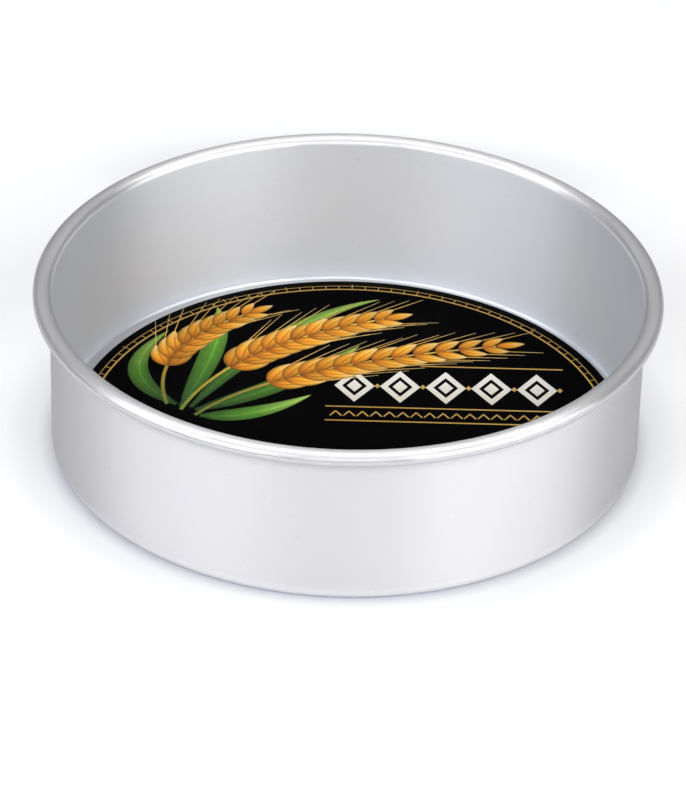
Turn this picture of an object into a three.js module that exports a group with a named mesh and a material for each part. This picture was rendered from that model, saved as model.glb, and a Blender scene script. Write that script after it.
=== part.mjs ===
// Round cake tin with a loose base, and the card insert that lies on the base.
// Millimetres, +Z up. The origin is the middle of the face that the tin stands on.

import * as THREE from 'three';

// Wall: one spun sheet, with a rim rolled outwards at the top and a ledge turned in at the bottom
const INNER_DIAMETER = 240;
const HEIGHT = 71;
const WALL_SHEET = 1.2;

// Bends are given by their inside radius, on the side where the sheet folds in on itself
const LEDGE_BEND = 1.8;
const LEDGE_FLAT = 6.2;
const RIM_BEND = 1.6;
const RIM_FLAT = 2.6;
const CURL_BEND = 1.4;

// Open slot under the rim, between the cut edge of the roll and the wall
const CURL_SLOT = 1.6;

// Loose base: a flat disc that lies on the ledge
const BASE_SHEET = 1.6;
const BASE_BEVEL = 0.3;
const BASE_CLEARANCE = 0.6;

// Card insert: lies on the base, a little to one side
const CARD_SHEET = 0.5;
const CARD_MARGIN = 2.8;
const CARD_SHIFT_X = 1.6;

// Facets round the axis, and steps in a quarter turn of a bend
const SEGMENTS = 80;
const QUARTER_STEPS = 4;

// Sizes that follow from the ones above
const innerRadius = INNER_DIAMETER / 2;
const outerRadius = innerRadius + WALL_SHEET;
const ledgeStart = innerRadius - LEDGE_BEND;
const ledgeEnd = ledgeStart - LEDGE_FLAT;
const baseRadius = ledgeStart - BASE_CLEARANCE;
const baseTop = WALL_SHEET + BASE_SHEET;
const cardRadius = baseRadius - CARD_MARGIN;

const QUARTER = Math.PI / 2;

// Points of an arc in the (radius, height) plane, from one angle to another, both ends included.
// Angle 0 points away from the axis and a quarter turn points up.
function arc(centre, radius, from, to) {
  const steps = Math.max(1, Math.round(Math.abs(to - from) / QUARTER * QUARTER_STEPS));
  const points = [];
  for (let i = 0; i <= steps; i += 1) {
    const angle = from + (to - from) * i / steps;
    points.push(new THREE.Vector2(
      centre.x + radius * Math.cos(angle),
      centre.y + radius * Math.sin(angle),
    ));
  }
  return points;
}

// Turns a closed outline round the Z axis
function revolve(outline) {
  const closed = outline.concat([outline[0].clone()]);
  const geometry = new THREE.LatheGeometry(closed, SEGMENTS);
  geometry.rotateX(QUARTER);
  return geometry;
}

// Section of the wall sheet. It runs up the outside from the ledge to the roll, round the cut edge of
// the roll, back along the other face of the sheet over the rim, and down the inside to the ledge.
function wallOutline() {
  const ledgeBend = new THREE.Vector2(ledgeStart, WALL_SHEET + LEDGE_BEND);
  const rimBend = new THREE.Vector2(outerRadius + RIM_BEND, HEIGHT - WALL_SHEET - RIM_BEND);
  const curl = new THREE.Vector2(rimBend.x + RIM_FLAT, HEIGHT - WALL_SHEET - CURL_BEND);
  const curlOutside = CURL_BEND + WALL_SHEET;
  const cutEdge = outerRadius + CURL_SLOT;
  return [
    new THREE.Vector2(ledgeEnd, 0),
    ...arc(ledgeBend, LEDGE_BEND + WALL_SHEET, -QUARTER, 0),
    ...arc(rimBend, RIM_BEND, 2 * QUARTER, QUARTER),
    ...arc(curl, CURL_BEND, QUARTER, -QUARTER),
    new THREE.Vector2(cutEdge, curl.y - CURL_BEND),
    new THREE.Vector2(cutEdge, curl.y - curlOutside),
    ...arc(curl, curlOutside, -QUARTER, QUARTER),
    ...arc(rimBend, RIM_BEND + WALL_SHEET, QUARTER, 2 * QUARTER),
    ...arc(ledgeBend, LEDGE_BEND, 0, -QUARTER),
    new THREE.Vector2(ledgeEnd, WALL_SHEET),
  ];
}

// Section of the base, from the axis round its bevelled edge and back to the axis
function baseOutline() {
  return [
    new THREE.Vector2(0, WALL_SHEET),
    new THREE.Vector2(baseRadius - BASE_BEVEL, WALL_SHEET),
    new THREE.Vector2(baseRadius, WALL_SHEET + BASE_BEVEL),
    new THREE.Vector2(baseRadius, baseTop - BASE_BEVEL),
    new THREE.Vector2(baseRadius - BASE_BEVEL, baseTop),
    new THREE.Vector2(0, baseTop),
  ];
}

// Section of the card, which lies flat on the base
function cardOutline() {
  return [
    new THREE.Vector2(0, baseTop),
    new THREE.Vector2(cardRadius, baseTop),
    new THREE.Vector2(cardRadius, baseTop + CARD_SHEET),
    new THREE.Vector2(0, baseTop + CARD_SHEET),
  ];
}

// Finishes
const SATIN_ALUMINIUM = { color: 0xededef, roughness: 0.65, metalness: 0.7 };
const PRINTED_CARD = { color: 0x0c0b0d, roughness: 0.5, metalness: 0 };

function piece(name, geometry, finish) {
  const mesh = new THREE.Mesh(geometry, new THREE.MeshStandardMaterial(finish));
  mesh.name = name;
  return mesh;
}

const tin = new THREE.Group();
tin.name = 'loose_base_cake_tin';
tin.add(piece('tin_wall', revolve(wallOutline()), SATIN_ALUMINIUM));
tin.add(piece('loose_base', revolve(baseOutline()), SATIN_ALUMINIUM));

const card = piece('label_card', revolve(cardOutline()), PRINTED_CARD);
card.position.x = CARD_SHIFT_X;
tin.add(card);

export default tin;
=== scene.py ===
"""Looks of a round loose-base cake tin in satin anodised aluminium, with a printed card on its base."""

import math

import bmesh
import bpy
from mathutils import Matrix, Vector


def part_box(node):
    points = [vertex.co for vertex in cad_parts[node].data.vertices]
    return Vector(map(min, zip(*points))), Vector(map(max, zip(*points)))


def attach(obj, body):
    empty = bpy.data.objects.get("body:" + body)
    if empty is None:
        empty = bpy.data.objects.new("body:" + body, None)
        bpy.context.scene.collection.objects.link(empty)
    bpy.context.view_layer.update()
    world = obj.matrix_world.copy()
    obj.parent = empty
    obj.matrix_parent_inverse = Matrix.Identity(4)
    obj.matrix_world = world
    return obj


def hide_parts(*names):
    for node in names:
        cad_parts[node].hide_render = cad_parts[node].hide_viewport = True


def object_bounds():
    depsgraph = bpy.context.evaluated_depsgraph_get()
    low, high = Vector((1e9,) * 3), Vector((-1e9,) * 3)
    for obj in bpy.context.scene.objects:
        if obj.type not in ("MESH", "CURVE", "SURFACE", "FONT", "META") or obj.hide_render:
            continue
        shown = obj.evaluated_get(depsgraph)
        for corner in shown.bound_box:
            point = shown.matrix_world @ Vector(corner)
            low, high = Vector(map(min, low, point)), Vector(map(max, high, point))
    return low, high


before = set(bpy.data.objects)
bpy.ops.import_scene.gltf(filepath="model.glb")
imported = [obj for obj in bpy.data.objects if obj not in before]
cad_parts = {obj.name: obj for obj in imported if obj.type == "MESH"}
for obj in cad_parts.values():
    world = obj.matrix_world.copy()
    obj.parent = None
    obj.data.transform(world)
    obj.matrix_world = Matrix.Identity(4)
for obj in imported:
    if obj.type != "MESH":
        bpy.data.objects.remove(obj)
cad_low, cad_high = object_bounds()

MM = 0.001
QUARTER = math.pi / 2

# Sizes read from the frame
_, wall_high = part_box("tin_wall")
base_low, base_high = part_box("loose_base")
card_low, card_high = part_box("label_card")
HEIGHT = wall_high.z
RIM_RADIUS = wall_high.x
BASE_RADIUS = base_high.x
CARD_RADIUS = (card_high.x - card_low.x) / 2
CARD_CENTRE = Vector(((card_high.x + card_low.x) / 2, (card_high.y + card_low.y) / 2, card_high.z))

# Section of the wall sheet: thickness, inside radii of the bends and the flat stretches between them
SHEET = base_low.z
LEDGE_BEND = 1.8 * MM
LEDGE_FLAT = 6.2 * MM
RIM_BEND = 1.6 * MM
RIM_FLAT = 2.6 * MM
CURL_BEND = 1.4 * MM
CURL_SLOT = 1.6 * MM
OUTER_RADIUS = RIM_RADIUS - SHEET - CURL_BEND - RIM_FLAT - RIM_BEND
INNER_RADIUS = OUTER_RADIUS - SHEET

# The top of the rim is slightly domed: how far it leans at either side, and how much lower its sides are
CROWN_LEAN = math.radians(12)
CROWN_DROP = RIM_FLAT / 2 * math.tan(CROWN_LEAN / 2)

# Rounding of the cut edges of the wall, the base and the card
EDGE_ROUND = 0.25 * MM
BASE_ROUND = 0.3 * MM
CARD_CRUSH = 0.06 * MM

# Fineness of the turned meshes, and the radius below which a point counts as lying on the axis
TURN_STEPS = 288
BEND_STEPS = 10
WALL_ROWS = 24
DISC_RINGS = 16
EDGE_STEPS = 3
BASE_EDGE_STEPS = 4
CARD_EDGE_STEPS = 2
ON_AXIS = 1e-9

# Metal of the wall and of the base
WALL_METAL = {
    "low_colour": (0.905, 0.935, 0.985),
    "high_colour": (0.93, 0.96, 0.998),
    "metallic": 0.7,
    "edge_tint": (0.6, 0.6, 0.61),
}
BASE_METAL = {
    "low_colour": (0.91, 0.92, 0.945),
    "high_colour": (0.94, 0.95, 0.975),
    "metallic": 1.0,
    "edge_tint": (0.08, 0.08, 0.09),
}
ROUGHNESS = 0.65

# Grooves: noise in a metre round the axis and across them, weight of radius beside height, roughness varied
GROOVE_ROUND = 9.0
GROOVE_ACROSS = 2600.0
GROOVE_RADIUS_SHARE = 0.83
GROOVE_ROUGHNESS = 0.03

# Clouds in the metal: noise in a metre, share of the tone, roughness varied
CLOUD_SCALE = 38.0
CLOUD_SHARE = 0.65
CLOUD_ROUGHNESS = 0.02

# Dark specks in the metal: noise in a metre, the noise where they start and are full, and their shade
SPECK_SCALE = 520.0
SPECK_START = 0.72
SPECK_FULL = 0.80
SPECK_SHADE = 0.93

# How much smoother the bends are than the wall, and how far below the top of the rim this starts and is full
RIM_BURNISH = 0.33
RIM_BURNISH_START = 3.6 * MM
RIM_BURNISH_FULL = 1.8 * MM
FOOT_BURNISH = 0.3

# The flank of the roll is smoother still, and painted darker as painted shade under the roll, up to where
# both fade out between two angles on the roll
FLANK_BURNISH = 0.38
FLANK_PAINTED_SHADE = (0.75, 0.75, 0.76)
FLANK_FADE_START = math.radians(15)
FLANK_FADE_END = math.radians(50)

# The outside of the wall is painted darker and a little warmer than the inside, as painted shade, and the
# change lies within the thickness of the sheet
OUTSIDE_PAINTED_SHADE = (0.897, 0.864, 0.838)
OUTSIDE_START = INNER_RADIUS + 0.4 * SHEET
OUTSIDE_FULL = INNER_RADIUS + 0.6 * SHEET

# Card: noise in a metre for the fibre and the clouding of its black print, and for the fibre of bare stock
PRINT_FIBRE_SCALE = 1400.0
PRINT_CLOUD_SCALE = 45.0
STOCK_FIBRE_SCALE = 1100.0

# Inks: noise in a metre and shades of the screen of dots, noise and shift of mottling, shades of motifs
SCREEN_SCALE = 2200.0
SCREEN_SHADES = (0.88, 1.1)
MOTTLE_SCALE = 260.0
MOTTLE_SHIFT = 0.12
MOTIF_SHADES = (0.78, 1.12)

# Inks, across a motif from -1 to 1: how late its edges darken, and where its mid line lies and fades out
EDGE_POWER = 2.2
VEIN_OFFSET = 0.12
VEIN_CORE = 0.05
VEIN_END = 0.16

# Colours: places from 0 to 1 along a noise or a motif, with linear red, green and blue
BLACK_PRINT = [(0.3, (0.0004, 0.0004, 0.0005)), (0.7, (0.0009, 0.0009, 0.001))]
BARE_STOCK = [(0.3, (0.62, 0.59, 0.53)), (0.7, (0.78, 0.76, 0.71))]
FLOOR_PAINT = [(0.3, (0.90, 0.905, 0.915)), (0.7, (0.91, 0.915, 0.925))]
GOLD = [(0.0, (0.62, 0.36, 0.07)), (1.0, (0.80, 0.52, 0.14))]
CREAM = [(0.0, (0.74, 0.69, 0.58)), (1.0, (0.90, 0.87, 0.80))]
GREEN = [(0.0, (0.015, 0.06, 0.008)), (0.5, (0.09, 0.26, 0.02)), (1.0, (0.34, 0.52, 0.10))]
STRAW = [(0.0, (0.16, 0.24, 0.03)), (0.5, (0.72, 0.42, 0.05)), (1.0, (0.85, 0.55, 0.12))]
BRISTLE = [(0.0, (0.85, 0.45, 0.06)), (1.0, (0.95, 0.72, 0.30))]
AMBER = [
    (0.0, (0.34, 0.09, 0.005)),
    (0.3, (0.85, 0.30, 0.012)),
    (0.6, (1.0, 0.47, 0.04)),
    (1.0, (1.0, 0.74, 0.28)),
]

# Print on the card: steps across a motif and along each kind of motif
ACROSS_STEPS = (-1.0, -0.66, -0.33, 0.0, 0.33, 0.66, 1.0)
LINE_STEPS = 2
AWN_STEPS = 4
SEED_STEPS = 14
STEM_STEPS = 24
LEAF_STEPS = 28
RING_STEPS = 240

# Height of each ink above the card in mm, and the rise from one motif to the next
GOLD_HEIGHT = 0.010
CREAM_HEIGHT = 0.012
GREEN_HEIGHT = 0.020
STRAW_HEIGHT = 0.050
AWN_HEIGHT = 0.060
SEED_HEIGHT = 0.075
INK_STEP = 0.0012

# Shading of plain motifs: their tone and their place along and across the shading of an ink
PLAIN_TONE = 0.5
PLAIN_ALONG = 0.5
RING_ACROSS = 0.4
LOZENGE_ACROSS = 0.6
LOZENGE_HOLE_ACROSS = 0.3

# Distances in metres at which points of the print are joined and slivers are removed
WELD = 1e-7
SLIVER = 1e-8

# Wheat stem: half width at its foot and how much of that it loses, in mm, and where the ear starts and ends
STEM_HALF_WIDTH = 0.9
STEM_TAPER = 0.4
EAR_START = 0.36
EAR_END = 0.97

# Wheat seeds: how far they lean out and how that varies, in radians, then shares of a seed's length
SEED_LEAN = 0.48
SEED_LEAN_VARIES = 0.12
SEED_SHRINK = 0.35
SEED_BULGE = 0.12
SEED_HALF_WIDTH = 0.21
TIP_SEED_LENGTH = 0.7
TIP_SEED_HALF_WIDTH = 0.14

# Wheat bristles: length as a share of a seed, half width in mm and the share of it that is lost to the tip
AWN_LENGTH = 1.25
AWN_HALF_WIDTH = 0.22
AWN_TAPER = 0.8

# Where seeds and leaves are widest along their length, how blunt they are, and a leaf's width at its foot
SEED_WIDEST = 0.45
LEAF_WIDEST = 0.4
BLUNTNESS = 0.8
LEAF_FOOT = 0.25

# Border of the card in mm: a line, a hairline round it, and ticks between them of which some are longer
BORDER_RADIUS = 107.6
BORDER_WIDTH = 0.8
HAIRLINE_RADIUS = 110.6
HAIRLINE_WIDTH = 0.35
TICK_COUNT = 120
LONG_TICK_EVERY = 5
LONG_TICK_END = 111.8

# Friezes of lozenges in mm: places, width, height and hole's share of the outline, size of heart and bead
FAR_FRIEZE = {
    "first": 2, "pitch": 19.2, "count": 5, "y": 30,
    "outline": (17, 25, 0.62), "heart": (6.4, 9.4), "bead": (2.4, 3.6),
}
NEAR_FRIEZE = {
    "first": -60, "pitch": 20, "count": 7, "y": -42,
    "outline": (12, 18, 0.6), "heart": (4.4, 6.6), "bead": (2.0, 3.0),
}

# Gold rules round the friezes in mm: left end, right end and place up the card
FAR_RULES = [(-10, 90, 13.5), (30, 90, 46.5)]
FOOT_RULE = (-10, 90, 2.8)
NEAR_RULES = [(-72, 82, -29), (-72, 82, -55)]
RULE_WIDTH = 0.7

# Gold zigzag in mm, between the far frieze and its foot rule
ZIGZAG_START = -8
ZIGZAG_PITCH = 5.6
ZIGZAG_REACH = 2.4
ZIGZAG_COUNT = 17
ZIGZAG_LOW = 6.4
ZIGZAG_HIGH = 10.0
ZIGZAG_WIDTH = 0.6

# Leaves in mm: start, bend and end of each, and its width
LEAVES = [
    ((-72, 12), (-104, 36), (-78, 70), 9),
    ((-70, 10), (-52, 70), (-58, 90), 10),
    ((-64, 8), (-22, 30), (4, 62), 10),
    ((-62, 4), (-40, 2), (-16, 22), 9),
    ((-66, 10), (-30, 84), (12, 100), 8),
    ((-20, -76), (4, -72), (30, -84), 7),
    ((-20, -76), (-2, -92), (22, -98), 7),
]

# Ears of wheat in mm: start, bend and end of each stem, its pairs of seeds and the length of a seed
EARS = [
    ((-76, 12), (-88, 56), (-44, 86), 9, 17),
    ((-70, 8), (-52, 60), (14, 84), 11, 19),
    ((-64, 4), (-34, 44), (62, 64), 12, 18),
    ((-52, -74), (-20, -88), (40, -72), 8, 12),
]

# Viewpoint: distance and elevation from a point on the axis, and the point in the middle of the picture
PICTURE_LONG_SIDE = 800
FOCAL_PIXELS = 4243
SENSOR = 36
CLIP_END = 50
CAMERA_PIVOT = Vector((0, 0, 30 * MM))
CAMERA_DISTANCE = 1.744
CAMERA_ELEVATION = math.radians(32.24)
CAMERA_ROLL = math.radians(1.5)
CAMERA_AIM = Vector((-1.04 * MM, -6.65 * MM, 19.45 * MM))

# Floor: half its width in metres, and how far it lies below the tin so that the two don't flicker
FLOOR_HALF_WIDTH = 6.0
FLOOR_CELLS = 8
FLOOR_GAP = 0.02 * MM
FLOOR_CLOUD_SCALE = 3.0

# How much whiter the floor looks than it is lit, and how far from the axis this starts and is full
FLOOR_LIFT = 0.12
LIFT_COLOUR = (0.97, 0.98, 1.0)
LIFT_START = 122 * MM
LIFT_FULL = 150 * MM

# The lift also stays off a zone behind the tin, away from the viewer, where the tin's shadow falls; the far
# edge of that darker zone is painted shadow
SHADOW_START = 110 * MM
SHADOW_FULL = 240 * MM
SHADOW_LENGTH = 115 * MM

# Soft painted shade in the floor's paint close round the foot of the wall
CONTACT_START = 119 * MM
CONTACT_END = 128 * MM
CONTACT_PAINTED_SHADE = (0.72, 0.73, 0.755)

# Faint even light from all round
WORLD_COLOUR = (0.98, 0.985, 1.0)
WORLD_STRENGTH = 0.03

# Distance of the soft boxes in metres, and their colours: those on the left are a little cooler
BOX_DISTANCE = 2.2
NEUTRAL = (1.0, 1.0, 1.0)
COOL = (0.955, 0.96, 1.0)

# Soft boxes: degrees round to the right of the viewer, degrees up, degrees wide and high, and brightness
SOFT_BOXES = [
    ("front_box", 0, 32, 30, 29, 2.3),
    ("right_box", 40, 34, 30, 29, 3.0),
    ("right_low_box", 40, 12, 34, 29, 1.2),
    ("right_side_box", 75, 40, 28, 29, 1.4),
    ("right_side_low_box", 75, 17, 34, 29, 1.7),
    ("left_box", -40, 34, 30, 29, 3.6),
    ("left_side_box", -75, 36, 29, 29, 2.4),
    ("left_side_low_box", -75, 17, 34, 29, 0.5),
    ("left_back_box", -110, 44, 26, 29, 0.6),
    ("back_strip", 180, 62, 48, 10, 6.7),
    ("back_box", 180, 37, 60, 14, 0.4),
    ("top_box", 0, 84, 36, 40, 0.8),
]


# Mesh helpers

def new_piece(name, bm, material):
    """A smooth-shaded object from a bmesh, with its normals pointing out."""
    bmesh.ops.recalc_face_normals(bm, faces=bm.faces)
    mesh = bpy.data.meshes.new(name)
    bm.to_mesh(mesh)
    bm.free()
    mesh.shade_smooth()
    piece = bpy.data.objects.new(name, mesh)
    bpy.context.scene.collection.objects.link(piece)
    mesh.materials.append(material)
    return piece


def arc(centre_r, centre_z, radius, start, end, steps=BEND_STEPS):
    """Points of an arc in the (radius, height) plane, both ends included."""
    turn = (end - start) / steps
    return [
        (centre_r + radius * math.cos(start + turn * i), centre_z + radius * math.sin(start + turn * i))
        for i in range(steps + 1)
    ]


def stretch(start, end, rows):
    """Points strictly between two points of the section."""
    return [
        (start[0] + (end[0] - start[0]) * i / rows, start[1] + (end[1] - start[1]) * i / rows)
        for i in range(1, rows)
    ]


def turned(outline, centre=(0, 0)):
    """A section turned round an upright axis: a closed loop, or a line that starts and ends on the axis.
    Points on the axis become one vertex."""
    bm = bmesh.new()
    rings = []
    for radius, height in outline:
        if radius < ON_AXIS:
            rings.append([bm.verts.new((centre[0], centre[1], height))])
            continue
        rings.append([
            bm.verts.new((
                centre[0] + radius * math.cos(2 * math.pi * k / TURN_STEPS),
                centre[1] + radius * math.sin(2 * math.pi * k / TURN_STEPS),
                height,
            ))
            for k in range(TURN_STEPS)
        ])
    closed = outline[0][0] > ON_AXIS
    count = len(rings) if closed else len(rings) - 1
    for i in range(count):
        lower, upper = rings[i], rings[(i + 1) % len(rings)]
        for k in range(TURN_STEPS):
            n = (k + 1) % TURN_STEPS
            corners = [
                lower[k % len(lower)], lower[n % len(lower)],
                upper[n % len(upper)], upper[k % len(upper)],
            ]
            bm.faces.new(list(dict.fromkeys(corners)))
    return bm


# Node helpers

def new_material(name):
    """A material with nodes, its node tree and its shader."""
    material = bpy.data.materials.new(name)
    material.use_nodes = True
    tree = material.node_tree
    return material, tree, tree.nodes["Principled BSDF"]


def add(tree, kind, **values):
    """A node whose attributes are set by name, and whose inputs are set by index or name in `inputs`."""
    node = tree.nodes.new(kind)
    inputs = values.pop("inputs", {})
    for key, value in values.items():
        setattr(node, key, value)
    for key, value in inputs.items():
        if isinstance(value, bpy.types.NodeSocket):
            tree.links.new(value, node.inputs[key])
        else:
            node.inputs[key].default_value = value
    return node


def object_place(tree):
    """Place in the piece's own frame, in metres."""
    return add(tree, "ShaderNodeTexCoord").outputs["Object"]


def math_node(tree, operation, *values):
    """Arithmetic on sockets and numbers."""
    node = add(tree, "ShaderNodeMath", operation=operation, inputs=dict(enumerate(values)))
    return node.outputs[0]


def noise(tree, vector, scale, detail=3.0, roughness=0.55):
    """Smooth noise from 0 to 1."""
    node = add(
        tree, "ShaderNodeTexNoise",
        inputs={"Vector": vector, "Scale": scale, "Detail": detail, "Roughness": roughness},
    )
    return node.outputs["Fac"]


def between(tree, factor, low, high):
    """Maps a 0 to 1 value to the range from low to high."""
    node = add(
        tree, "ShaderNodeMapRange",
        inputs={"Value": factor, "To Min": low, "To Max": high},
    )
    return node.outputs["Result"]


def step(tree, value, start, end, before, after):
    """Changes smoothly from one value to another between two points."""
    node = add(tree, "ShaderNodeMapRange", interpolation_type="SMOOTHSTEP", inputs={
        "Value": value, "From Min": start, "From Max": end, "To Min": before, "To Max": after,
    })
    return node.outputs["Result"]


def mix_colour(tree, factor, colour, tint):
    """Multiplies a colour by a tint, by a factor from 0 to 1."""
    node = add(tree, "ShaderNodeMix", data_type="RGBA", blend_type="MULTIPLY")
    tree.links.new(factor, node.inputs["Factor"])
    tree.links.new(colour, node.inputs[6])
    node.inputs[7].default_value = (*tint, 1)
    return node.outputs[2]


def shade_colour(tree, colour, shade):
    """Multiplies a colour by one value."""
    node = add(tree, "ShaderNodeVectorMath", operation="SCALE", inputs={0: colour, "Scale": shade})
    return node.outputs[0]


def ramp(tree, factor, stops):
    """A colour ramp; stops are (position, (r, g, b))."""
    node = add(tree, "ShaderNodeValToRGB", inputs={"Fac": factor})
    elements = node.color_ramp.elements
    while len(elements) < len(stops):
        elements.new(0.5)
    for element, (position, colour) in zip(elements, stops):
        element.position = position
        element.color = (*colour, 1)
    return node.outputs["Color"]


def link_bump(tree, shader, height, strength, distance):
    """Fine relief on a shader."""
    bump = add(tree, "ShaderNodeBump", inputs={"Strength": strength, "Distance": distance, "Height": height})
    tree.links.new(bump.outputs["Normal"], shader.inputs["Normal"])


# Materials

def spun_aluminium(name, low_colour, high_colour, metallic, edge_tint):
    """Satin anodised sheet: fine grooves round the axis, faint clouding and a few dark specks.
    The bends are smoother than the flat sheet. The outside of the wall is painted a little darker than the
    inside, and the flank of the roll darker still, as painted shade."""
    material, tree, shader = new_material(name)
    place = object_place(tree)
    x, y, z = add(tree, "ShaderNodeSeparateXYZ", inputs={0: place}).outputs
    radius = math_node(tree, "SQRT", math_node(
        tree, "ADD", math_node(tree, "MULTIPLY", x, x), math_node(tree, "MULTIPLY", y, y)))
    along = math_node(tree, "ADD", math_node(tree, "MULTIPLY", radius, GROOVE_RADIUS_SHARE), z)
    groove_place = add(tree, "ShaderNodeCombineXYZ", inputs={
        0: math_node(tree, "MULTIPLY", x, GROOVE_ROUND),
        1: math_node(tree, "MULTIPLY", y, GROOVE_ROUND),
        2: math_node(tree, "MULTIPLY", along, GROOVE_ACROSS),
    }).outputs[0]
    grooves = noise(tree, groove_place, 1.0, detail=4.0, roughness=0.6)
    clouds = noise(tree, place, CLOUD_SCALE, detail=2.0)
    specks = step(
        tree, noise(tree, place, SPECK_SCALE, detail=1.0), SPECK_START, SPECK_FULL, 1.0, SPECK_SHADE)
    tone = math_node(
        tree, "ADD",
        math_node(tree, "MULTIPLY", grooves, 1 - CLOUD_SHARE),
        math_node(tree, "MULTIPLY", clouds, CLOUD_SHARE))
    colour = ramp(tree, tone, [(0.25, low_colour), (0.75, high_colour)])

    # Painted shade: the outside of the wall is painted darker than the inside
    outside = step(tree, radius, OUTSIDE_START, OUTSIDE_FULL, 0.0, 1.0)
    colour = mix_colour(tree, outside, colour, OUTSIDE_PAINTED_SHADE)
    curl_turn = math_node(
        tree, "ARCTAN2",
        math_node(tree, "SUBTRACT", z, HEIGHT - SHEET - CURL_BEND),
        math_node(tree, "SUBTRACT", radius, RIM_RADIUS - SHEET - CURL_BEND))
    on_curl = math_node(
        tree, "MULTIPLY",
        math_node(tree, "GREATER_THAN", radius, RIM_RADIUS - 2 * SHEET - CURL_BEND),
        math_node(tree, "GREATER_THAN", z, HEIGHT / 2))
    # The flank of the roll: smoother, and painted darker as painted shade under the roll
    flank = math_node(
        tree, "MULTIPLY", on_curl, step(tree, curl_turn, FLANK_FADE_START, FLANK_FADE_END, 1.0, 0.0))
    colour = mix_colour(tree, flank, colour, FLANK_PAINTED_SHADE)
    tree.links.new(shade_colour(tree, colour, specks), shader.inputs["Base Color"])

    rough = math_node(
        tree, "ADD",
        between(tree, grooves, ROUGHNESS - GROOVE_ROUGHNESS, ROUGHNESS + GROOVE_ROUGHNESS),
        between(tree, clouds, -CLOUD_ROUGHNESS, CLOUD_ROUGHNESS))
    rolled = step(tree, z, HEIGHT - RIM_BURNISH_START, HEIGHT - RIM_BURNISH_FULL, 0.0, RIM_BURNISH)
    rolled = math_node(tree, "MAXIMUM", rolled, math_node(tree, "MULTIPLY", flank, FLANK_BURNISH))
    foot = step(tree, z, SHEET + LEDGE_BEND, 2 * (SHEET + LEDGE_BEND), FOOT_BURNISH, 0.0)
    rough = math_node(tree, "SUBTRACT", rough, math_node(tree, "ADD", rolled, foot))
    tree.links.new(rough, shader.inputs["Roughness"])
    link_bump(tree, shader, grooves, strength=0.10, distance=0.04 * MM)
    tangent = add(tree, "ShaderNodeTangent", direction_type="RADIAL", axis="Z")
    tree.links.new(tangent.outputs[0], shader.inputs["Tangent"])
    shader.inputs["Metallic"].default_value = metallic
    shader.inputs["Anisotropic"].default_value = 0.9
    shader.inputs["Anisotropic Rotation"].default_value = 0.25
    shader.inputs["Specular Tint"].default_value = (*edge_tint, 1)
    return material


def printed_black():
    """Black print on card: matt lacquer with a faint fibre and clouding."""
    material, tree, shader = new_material("card_black_print")
    place = object_place(tree)
    fibre = noise(tree, place, PRINT_FIBRE_SCALE)
    clouds = noise(tree, place, PRINT_CLOUD_SCALE, detail=2.0)
    tree.links.new(ramp(tree, clouds, BLACK_PRINT), shader.inputs["Base Color"])
    tree.links.new(between(tree, fibre, 0.42, 0.54), shader.inputs["Roughness"])
    link_bump(tree, shader, fibre, strength=0.15, distance=0.03 * MM)
    shader.inputs["Specular IOR Level"].default_value = 0.01
    return material


def card_stock():
    """The pale cut edge and plain back of the card."""
    material, tree, shader = new_material("card_stock")
    fibre = noise(tree, object_place(tree), STOCK_FIBRE_SCALE, detail=4.0, roughness=0.7)
    tree.links.new(ramp(tree, fibre, BARE_STOCK), shader.inputs["Base Color"])
    link_bump(tree, shader, fibre, strength=0.3, distance=0.05 * MM)
    shader.inputs["Roughness"].default_value = 0.8
    return material


def printed_ink(name, along_stops, edge_shade, vein, roughness=0.55, metallic=0.0):
    """Print whose colour runs along each motif, with shaded edges, a mid line and a fine screen of dots."""
    material, tree, shader = new_material(name)
    along = add(tree, "ShaderNodeAttribute", attribute_name="along").outputs["Fac"]
    across = add(tree, "ShaderNodeAttribute", attribute_name="across").outputs["Fac"]
    tone = add(tree, "ShaderNodeAttribute", attribute_name="tone").outputs["Fac"]
    place = object_place(tree)
    screen = noise(tree, place, SCREEN_SCALE, detail=2.0)
    mottle = between(tree, noise(tree, place, MOTTLE_SCALE), -MOTTLE_SHIFT, MOTTLE_SHIFT)
    colour = ramp(tree, math_node(tree, "ADD", along, mottle), along_stops)
    edge = math_node(tree, "POWER", math_node(tree, "ABSOLUTE", across), EDGE_POWER)
    shade = math_node(tree, "SUBTRACT", 1.0, math_node(tree, "MULTIPLY", edge, edge_shade))
    line = add(tree, "ShaderNodeMapRange", inputs={
        "Value": math_node(tree, "ABSOLUTE", math_node(tree, "ADD", across, VEIN_OFFSET)),
        "From Min": VEIN_CORE, "From Max": VEIN_END, "To Min": vein, "To Max": 1.0,
    }).outputs["Result"]
    for factor in (line, between(tree, tone, *MOTIF_SHADES), between(tree, screen, *SCREEN_SHADES)):
        shade = math_node(tree, "MULTIPLY", shade, factor)
    tree.links.new(shade_colour(tree, colour, shade), shader.inputs["Base Color"])
    shader.inputs["Roughness"].default_value = roughness
    shader.inputs["Metallic"].default_value = metallic
    shader.inputs["Specular IOR Level"].default_value = 0.15
    return material


# Scene: floor, light and camera

def world_light():
    """Faint, slightly cool light from all round."""
    world = bpy.data.worlds.new("studio")
    bpy.context.scene.world = world
    world.use_nodes = True
    background = world.node_tree.nodes["Background"]
    background.inputs["Color"].default_value = (*WORLD_COLOUR, 1)
    background.inputs["Strength"].default_value = WORLD_STRENGTH


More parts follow.
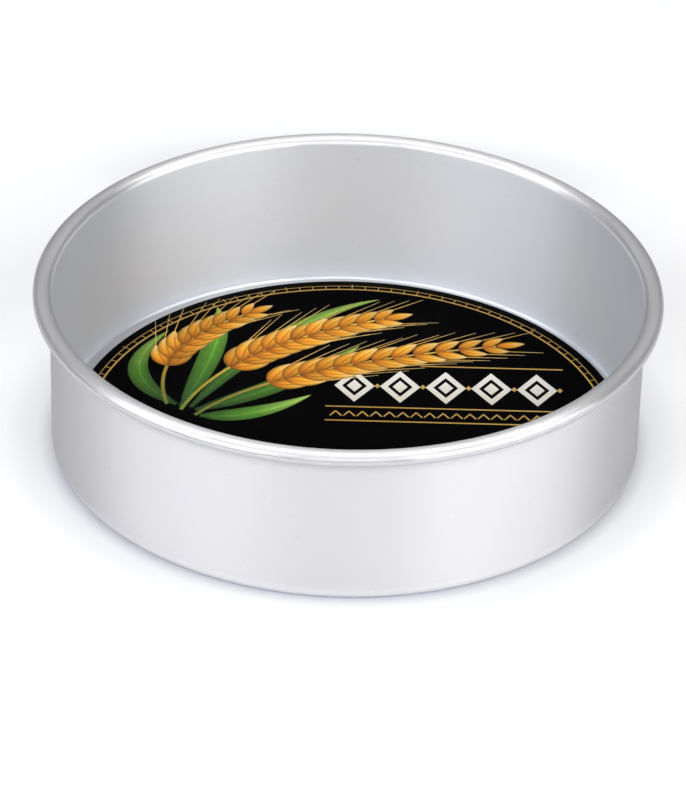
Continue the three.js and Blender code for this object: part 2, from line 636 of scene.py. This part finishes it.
def soft_box(name, azimuth, elevation, width, height, radiance):
    """A soft box on the ring, turned to the tin; its brightness doesn't depend on its size."""
    light = bpy.data.lights.new(name, "AREA")
    light.shape = "RECTANGLE"
    light.size = 2 * BOX_DISTANCE * math.tan(width / 2)
    light.size_y = 2 * BOX_DISTANCE * math.tan(height / 2)
    light.energy = radiance * math.pi * light.size * light.size_y
    light.color = COOL if azimuth < 0 else NEUTRAL
    lamp = bpy.data.objects.new(name, light)
    lamp.location = BOX_DISTANCE * Vector((
        math.sin(azimuth) * math.cos(elevation),
        -math.cos(azimuth) * math.cos(elevation),
        math.sin(elevation),
    ))
    lamp.rotation_euler = (CAMERA_PIVOT - lamp.location).to_track_quat("-Z", "Y").to_euler()
    bpy.context.scene.collection.objects.link(lamp)


def studio_floor():
    """A wide pale floor under the tin. It keeps the shadow, and looks a little lighter than its paint."""
    material, tree, shader = new_material("pale_floor")
    place = object_place(tree)
    away = add(tree, "ShaderNodeVectorMath", operation="LENGTH", inputs={0: place}).outputs["Value"]
    paint = ramp(tree, noise(tree, place, FLOOR_CLOUD_SCALE), FLOOR_PAINT)
    # Painted shade: the floor's paint is darker close round the foot of the wall
    near = step(tree, away, CONTACT_START, CONTACT_END, 1.0, 0.0)
    tree.links.new(mix_colour(tree, near, paint, CONTACT_PAINTED_SHADE), shader.inputs["Base Color"])
    shader.inputs["Roughness"].default_value = 0.9
    shader.inputs["Specular IOR Level"].default_value = 0.1

    path = add(tree, "ShaderNodeLightPath")
    seen = math_node(tree, "MAXIMUM", path.outputs["Is Camera Ray"], math_node(
        tree, "MAXIMUM", path.outputs["Is Glossy Ray"], path.outputs["Is Transmission Ray"]))
    depth = add(tree, "ShaderNodeSeparateXYZ", inputs={0: place}).outputs["Y"]
    # Painted shadow: the lift stays off a zone behind the tin, whose far edge is drawn by this mask
    shadow = step(tree, depth, SHADOW_START, SHADOW_FULL, 0.0, SHADOW_LENGTH)
    lift = step(tree, math_node(tree, "SUBTRACT", away, shadow), LIFT_START, LIFT_FULL, 0.0, FLOOR_LIFT)
    shader.inputs["Emission Color"].default_value = (*LIFT_COLOUR, 1)
    tree.links.new(math_node(tree, "MULTIPLY", seen, lift), shader.inputs["Emission Strength"])

    bm = bmesh.new()
    bmesh.ops.create_grid(bm, x_segments=FLOOR_CELLS, y_segments=FLOOR_CELLS, size=FLOOR_HALF_WIDTH)
    floor = new_piece("studio_floor", bm, material)
    floor.location.z = cad_low.z - FLOOR_GAP


def camera():
    """The photo's viewpoint, with its slight roll."""
    data = bpy.data.cameras.new("camera")
    data.sensor_width = SENSOR
    data.lens = FOCAL_PIXELS / PICTURE_LONG_SIDE * SENSOR
    data.clip_end = CLIP_END
    bearing = Vector((0, -math.cos(CAMERA_ELEVATION), math.sin(CAMERA_ELEVATION)))
    place = CAMERA_PIVOT + CAMERA_DISTANCE * bearing
    forward = (CAMERA_AIM - place).normalized()
    right = forward.cross(Vector((0, 0, 1))).normalized()
    up = right.cross(forward)
    tilted_right = math.cos(CAMERA_ROLL) * right + math.sin(CAMERA_ROLL) * up
    tilted_up = math.cos(CAMERA_ROLL) * up - math.sin(CAMERA_ROLL) * right
    matrix = Matrix((tilted_right, tilted_up, -forward)).transposed().to_4x4()
    matrix.translation = place
    eye = bpy.data.objects.new("camera", data)
    eye.matrix_world = matrix
    bpy.context.scene.collection.objects.link(eye)
    bpy.context.scene.camera = eye


# Pieces

def tin_wall(material):
    """The wall sheet with its ledge, straight side, rolled rim and open slot under the roll."""
    ledge_start = INNER_RADIUS - LEDGE_BEND
    bend_z = SHEET + LEDGE_BEND
    rim_r, rim_z = OUTER_RADIUS + RIM_BEND, HEIGHT - SHEET - RIM_BEND - CROWN_DROP
    curl_r, curl_z = rim_r + RIM_FLAT, HEIGHT - SHEET - CURL_BEND - CROWN_DROP
    curl_outside = CURL_BEND + SHEET
    crown_r = (rim_r + curl_r) / 2
    crown = RIM_FLAT / 2 / math.sin(CROWN_LEAN) + SHEET + (RIM_BEND + CURL_BEND) / 2

    # Centres of the rounded corners of the ledge's cut edge and of the roll's cut edge
    ledge_edge = ledge_start - LEDGE_FLAT + EDGE_ROUND
    roll_edge = OUTER_RADIUS + CURL_SLOT + EDGE_ROUND
    roll_edge_top = curl_z - CURL_BEND - EDGE_ROUND
    roll_edge_foot = curl_z - curl_outside + EDGE_ROUND
    outline = [
        *arc(ledge_edge, EDGE_ROUND, EDGE_ROUND, -2 * QUARTER, -QUARTER, EDGE_STEPS),
        *arc(ledge_start, bend_z, LEDGE_BEND + SHEET, -QUARTER, 0),
        *stretch((OUTER_RADIUS, bend_z), (OUTER_RADIUS, rim_z), WALL_ROWS),
        *arc(rim_r, rim_z, RIM_BEND, 2 * QUARTER, QUARTER),
        *arc(curl_r, curl_z, CURL_BEND, QUARTER, -QUARTER, 2 * BEND_STEPS),
        *arc(roll_edge, roll_edge_top, EDGE_ROUND, QUARTER, 2 * QUARTER, EDGE_STEPS),
        *arc(roll_edge, roll_edge_foot, EDGE_ROUND, 2 * QUARTER, 3 * QUARTER, EDGE_STEPS),
        *arc(curl_r, curl_z, curl_outside, -QUARTER, QUARTER - CROWN_LEAN, 2 * BEND_STEPS),
        *arc(crown_r, HEIGHT - crown, crown, QUARTER - CROWN_LEAN, QUARTER + CROWN_LEAN)[1:-1],
        *arc(rim_r, rim_z, RIM_BEND + SHEET, QUARTER + CROWN_LEAN, 2 * QUARTER),
        *stretch((INNER_RADIUS, rim_z), (INNER_RADIUS, bend_z), WALL_ROWS),
        *arc(ledge_start, bend_z, LEDGE_BEND, 0, -QUARTER),
        *arc(ledge_edge, SHEET - EDGE_ROUND, EDGE_ROUND, QUARTER, 2 * QUARTER, EDGE_STEPS),
    ]
    piece = new_piece("wall_with_rolled_rim", turned(outline), material)
    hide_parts("tin_wall")
    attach(piece, "wall")


def disc_outline(radius, low, high, round_off, steps):
    """Section of a flat disc with rounded edges, from the axis round its edge and back to the axis."""
    edge = radius - round_off
    return [
        (0, low),
        *stretch((0, low), (edge, low), DISC_RINGS),
        *arc(edge, low + round_off, round_off, -QUARTER, 0, steps),
        *arc(edge, high - round_off, round_off, 0, QUARTER, steps),
        *stretch((edge, high), (0, high), DISC_RINGS),
        (0, high),
    ]


def loose_base(material):
    """The flat disc on the ledge, with its cut edge rounded over."""
    outline = disc_outline(BASE_RADIUS, base_low.z, base_high.z, BASE_ROUND, BASE_EDGE_STEPS)
    piece = new_piece("loose_base_disc", turned(outline), material)
    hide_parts("loose_base")
    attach(piece, "base")


def label_card(print_material, stock_material):
    """The card disc: black print on top, bare stock on its cut edge and back."""
    outline = disc_outline(CARD_RADIUS, card_low.z, card_high.z, CARD_CRUSH, CARD_EDGE_STEPS)
    piece = new_piece("card_disc", turned(outline, (CARD_CENTRE.x, CARD_CENTRE.y)), print_material)
    piece.data.materials.append(stock_material)
    for face in piece.data.polygons:
        face.material_index = 0 if face.center.z > card_high.z - CARD_CRUSH / 2 else 1
    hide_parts("label_card")
    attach(piece, "card")


# Print on the card: a generic design in plan millimetres from the middle of the card

def bezier(start, bend, end, t):
    """Point and direction of a curve from start to end that leans towards bend."""
    start, bend, end = Vector(start), Vector(bend), Vector(end)
    point = (1 - t) ** 2 * start + 2 * t * (1 - t) * bend + t * t * end
    direction = (1 - t) * (bend - start) + t * (end - bend)
    return point, direction.normalized()


def straight(start, end, t):
    """Point and direction of a straight line."""
    return bezier(start, (Vector(start) + Vector(end)) / 2, end, t)


def repeatable(i):
    """A value from 0 to 1 that looks random but is the same each time."""
    return (math.sin(i * 12.9898 + 4.1414) * 43758.5453) % 1.0


class Ink:
    """One colour of print: thin flat motifs gathered in a mesh, each a little above the last."""

    def __init__(self, height):
        self.bm = bmesh.new()
        self.along = self.bm.verts.layers.float.new("along")
        self.across = self.bm.verts.layers.float.new("across")
        self.tone = self.bm.verts.layers.float.new("tone")
        self.height = height
        self.count = 0

    def vertex(self, point, along, across, tone):
        """A point of the current motif, with the values that its shading needs."""
        vert = self.bm.verts.new((
            CARD_CENTRE.x + point[0] * MM,
            CARD_CENTRE.y + point[1] * MM,
            CARD_CENTRE.z + (self.height + INK_STEP * self.count) * MM,
        ))
        vert[self.along] = along
        vert[self.across] = across
        vert[self.tone] = tone
        return vert

    def blade(self, curve, half_width, steps, tone=None):
        """A flat shape along a curve: curve(t) gives point and direction, half_width(t) its half width."""
        shade = repeatable(self.count) if tone is None else tone
        rows = []
        for i in range(steps + 1):
            t = i / steps
            point, direction = curve(t)
            side = Vector((-direction.y, direction.x))
            rows.append([
                self.vertex(point + side * half_width(t) * w, t, w, shade) for w in ACROSS_STEPS
            ])
        for lower, upper in zip(rows, rows[1:]):
            for k in range(len(ACROSS_STEPS) - 1):
                self.bm.faces.new((lower[k], lower[k + 1], upper[k + 1], upper[k]))
        self.count += 1

    def line(self, start, end, width):
        """A straight line of even width."""
        self.blade(lambda t: straight(start, end, t), lambda t: width / 2, LINE_STEPS, PLAIN_TONE)

    def rule(self, left, right, y):
        """A line across the card."""
        self.line((left, y), (right, y), RULE_WIDTH)

    def tips(self, centre, width, height, scale, across):
        """The four tips of a lozenge, scaled about its middle."""
        return [
            self.vertex(
                (centre[0] + x * scale * width / 2, centre[1] + y * scale * height / 2),
                PLAIN_ALONG + y * scale / 2, across, PLAIN_TONE,
            )
            for x, y in ((0, 1), (1, 0), (0, -1), (-1, 0))
        ]

    def lozenge(self, centre, width, height, hole=0.0):
        """A lozenge, or its outline where there is a hole, which is a share of its size."""
        outer = self.tips(centre, width, height, 1, LOZENGE_ACROSS)
        if hole:
            inner = self.tips(centre, width, height, hole, LOZENGE_HOLE_ACROSS)
            for k in range(len(outer)):
                n = (k + 1) % len(outer)
                self.bm.faces.new((outer[k], outer[n], inner[n], inner[k]))
        else:
            self.bm.faces.new(outer)
        self.count += 1

    def ring(self, radius, width):
        """A line round the card, given by its inner radius."""
        inner, outer = [
            [
                self.vertex((r * math.cos(a), r * math.sin(a)), PLAIN_ALONG, RING_ACROSS, PLAIN_TONE)
                for a in (2 * math.pi * k / RING_STEPS for k in range(RING_STEPS))
            ]
            for r in (radius, radius + width)
        ]
        for k in range(RING_STEPS):
            n = (k + 1) % RING_STEPS
            self.bm.faces.new((inner[k], outer[k], outer[n], inner[n]))
        self.count += 1

    def finish(self, name, material):
        """Closes the motifs down to the card, so that each is a very thin solid."""
        bmesh.ops.remove_doubles(self.bm, verts=self.bm.verts, dist=WELD)
        bmesh.ops.dissolve_degenerate(self.bm, edges=self.bm.edges, dist=SLIVER)
        extruded = bmesh.ops.extrude_face_region(self.bm, geom=self.bm.faces[:], use_keep_orig=True)
        for item in extruded["geom"]:
            if isinstance(item, bmesh.types.BMVert):
                item.co.z = CARD_CENTRE.z
        bmesh.ops.recalc_face_normals(self.bm, faces=self.bm.faces)
        mesh = bpy.data.meshes.new(name)
        self.bm.to_mesh(mesh)
        self.bm.free()
        piece = bpy.data.objects.new(name, mesh)
        bpy.context.scene.collection.objects.link(piece)
        mesh.materials.append(material)
        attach(piece, "card")


def pod_shape(widest):
    """Half width of a seed or leaf along its length, from 0 to 1, widest at a given share."""
    power = math.log(0.5) / math.log(widest)
    return lambda t: max(0.0, math.sin(math.pi * t ** power)) ** BLUNTNESS


def wheat_ear(stems, awns, seeds, start, bend, end, pairs, seed_length):
    """A curved stem whose last part carries pairs of seeds with fine bristles, and one seed at the tip."""
    stems.blade(
        lambda t: bezier(start, bend, end, t), lambda t: STEM_HALF_WIDTH - STEM_TAPER * t, STEM_STEPS)
    shape = pod_shape(SEED_WIDEST)
    for i in range(pairs):
        rise = i / (pairs - 1)
        size = seed_length * (1.0 - SEED_SHRINK * rise ** 2)
        point, direction = bezier(start, bend, end, EAR_START + (EAR_END - EAR_START) * rise)
        for sign in (-1, 1):
            lean = sign * (SEED_LEAN + SEED_LEAN_VARIES * (repeatable(seeds.count) - 0.5))
            aim = Vector((
                direction.x * math.cos(lean) - direction.y * math.sin(lean),
                direction.x * math.sin(lean) + direction.y * math.cos(lean),
            ))
            tip = point + aim * size
            middle = point + aim * size * 0.5 + Vector((-aim.y, aim.x)) * sign * SEED_BULGE * size
            awn_tip = tip + (aim + direction).normalized() * size * AWN_LENGTH
            awns.blade(
                lambda u: straight(tip, awn_tip, u),
                lambda u: AWN_HALF_WIDTH * (1 - AWN_TAPER * u), AWN_STEPS)
            seeds.blade(
                lambda u: bezier(point, middle, tip, u),
                lambda u: SEED_HALF_WIDTH * size * shape(u), SEED_STEPS)
    point, direction = bezier(start, bend, end, 1.0)
    seeds.blade(
        lambda u: (point + direction * seed_length * TIP_SEED_LENGTH * u, direction),
        lambda u: seed_length * TIP_SEED_HALF_WIDTH * shape(u), SEED_STEPS)


def leaf(ink, start, bend, end, width):
    """A curved leaf with a narrow foot."""
    shape = pod_shape(LEAF_WIDEST)
    ink.blade(
        lambda t: bezier(start, bend, end, t),
        lambda t: width / 2 * max(shape(t), LEAF_FOOT * (1 - t)), LEAF_STEPS)


def border(gold):
    """Two lines round the card with ticks between them."""
    gold.ring(BORDER_RADIUS, BORDER_WIDTH)
    gold.ring(HAIRLINE_RADIUS, HAIRLINE_WIDTH)
    for k in range(TICK_COUNT):
        angle = 2 * math.pi * k / TICK_COUNT
        aim = Vector((math.cos(angle), math.sin(angle)))
        tick_end = HAIRLINE_RADIUS if k % LONG_TICK_EVERY else LONG_TICK_END
        gold.line(aim * (BORDER_RADIUS + BORDER_WIDTH), aim * tick_end, HAIRLINE_WIDTH)


def frieze(cream, gold, first, pitch, count, y, outline, heart, bead):
    """A row of lozenge outlines, each with a small lozenge in it and a gold bead after it."""
    for k in range(count):
        x = first + pitch * k
        cream.lozenge((x, y), *outline)
        cream.lozenge((x, y), *heart)
        gold.lozenge((x + pitch / 2, y), *bead)


def zigzag(gold):
    """A row of small peaks."""
    for k in range(ZIGZAG_COUNT):
        x = ZIGZAG_START + ZIGZAG_PITCH * k
        peak = (x + ZIGZAG_REACH, ZIGZAG_HIGH)
        gold.line((x, ZIGZAG_LOW), peak, ZIGZAG_WIDTH)
        gold.line(peak, (x + 2 * ZIGZAG_REACH, ZIGZAG_LOW), ZIGZAG_WIDTH)


def card_print():
    """Wheat and leaves on the left and near the viewer, two lozenge friezes with rules, and a border."""
    gold, cream, green = Ink(GOLD_HEIGHT), Ink(CREAM_HEIGHT), Ink(GREEN_HEIGHT)
    straw, awns, seeds = Ink(STRAW_HEIGHT), Ink(AWN_HEIGHT), Ink(SEED_HEIGHT)

    border(gold)
    frieze(cream, gold, **FAR_FRIEZE)
    for rule in FAR_RULES:
        gold.rule(*rule)
    zigzag(gold)
    gold.rule(*FOOT_RULE)
    frieze(cream, gold, **NEAR_FRIEZE)
    for rule in NEAR_RULES:
        gold.rule(*rule)
    for places in LEAVES:
        leaf(green, *places)
    for places in EARS:
        wheat_ear(straw, awns, seeds, *places)

    gold.finish("card_print_gold", printed_ink(
        "gold_foil", GOLD, edge_shade=0.1, vein=1.0, roughness=0.35, metallic=0.35))
    cream.finish("card_print_cream", printed_ink("cream_ink", CREAM, edge_shade=0.1, vein=1.0))
    green.finish("card_print_green", printed_ink("green_ink", GREEN, edge_shade=0.5, vein=1.5))
    straw.finish("card_print_straw", printed_ink("straw_ink", STRAW, edge_shade=0.5, vein=1.2))
    awns.finish("card_print_bristles", printed_ink("bristle_ink", BRISTLE, edge_shade=0.2, vein=1.0))
    seeds.finish("card_print_seeds", printed_ink("amber_ink", AMBER, edge_shade=0.72, vein=0.55))


bpy.context.scene.view_settings.view_transform = "Standard"
camera()
world_light()
studio_floor()
for lamp_name, *angles, radiance in SOFT_BOXES:
    soft_box(lamp_name, *map(math.radians, angles), radiance)

tin_wall(spun_aluminium("wall_aluminium", **WALL_METAL))
loose_base(spun_aluminium("base_aluminium", **BASE_METAL))
label_card(printed_black(), card_stock())
card_print()
